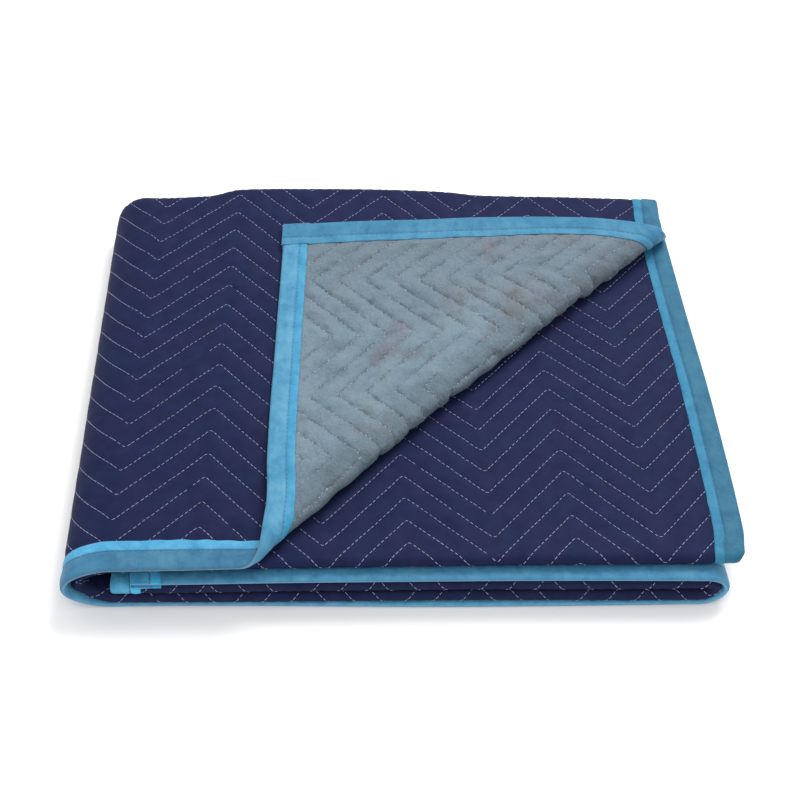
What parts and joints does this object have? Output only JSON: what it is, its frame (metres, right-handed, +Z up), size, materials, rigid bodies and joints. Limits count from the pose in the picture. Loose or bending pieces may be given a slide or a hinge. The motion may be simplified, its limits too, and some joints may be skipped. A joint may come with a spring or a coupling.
{
  "type": "moving blanket",
  "caption": "Quilted moving blanket folded into a flat pack, with one corner of its top layer turned back over the pack.",
  "frame": {"origin": "middle of the pack's underside, on the surface that it lies on", "axes": "+X along the pack's longer side, towards the side with the open cut ends; +Y towards the back crease; +Z up through the folded layers"},
  "size_m": [0.6415, 0.5381, 0.0813],
  "materials": {
    "navy_quilting": "navy woven shell over thin wadding, with a grey felt backing, quilted in zigzag lines",
    "blue_tape": "light blue nonwoven binding tape, softly creased"
  },
  "bodies": {
    "root": {"quilted_cloth": "navy_quilting", "binding_front": "blue_tape", "binding_inner": "blue_tape", "binding_right": "blue_tape", "binding_tucked": "blue_tape"}
  },
  "joints": []
}
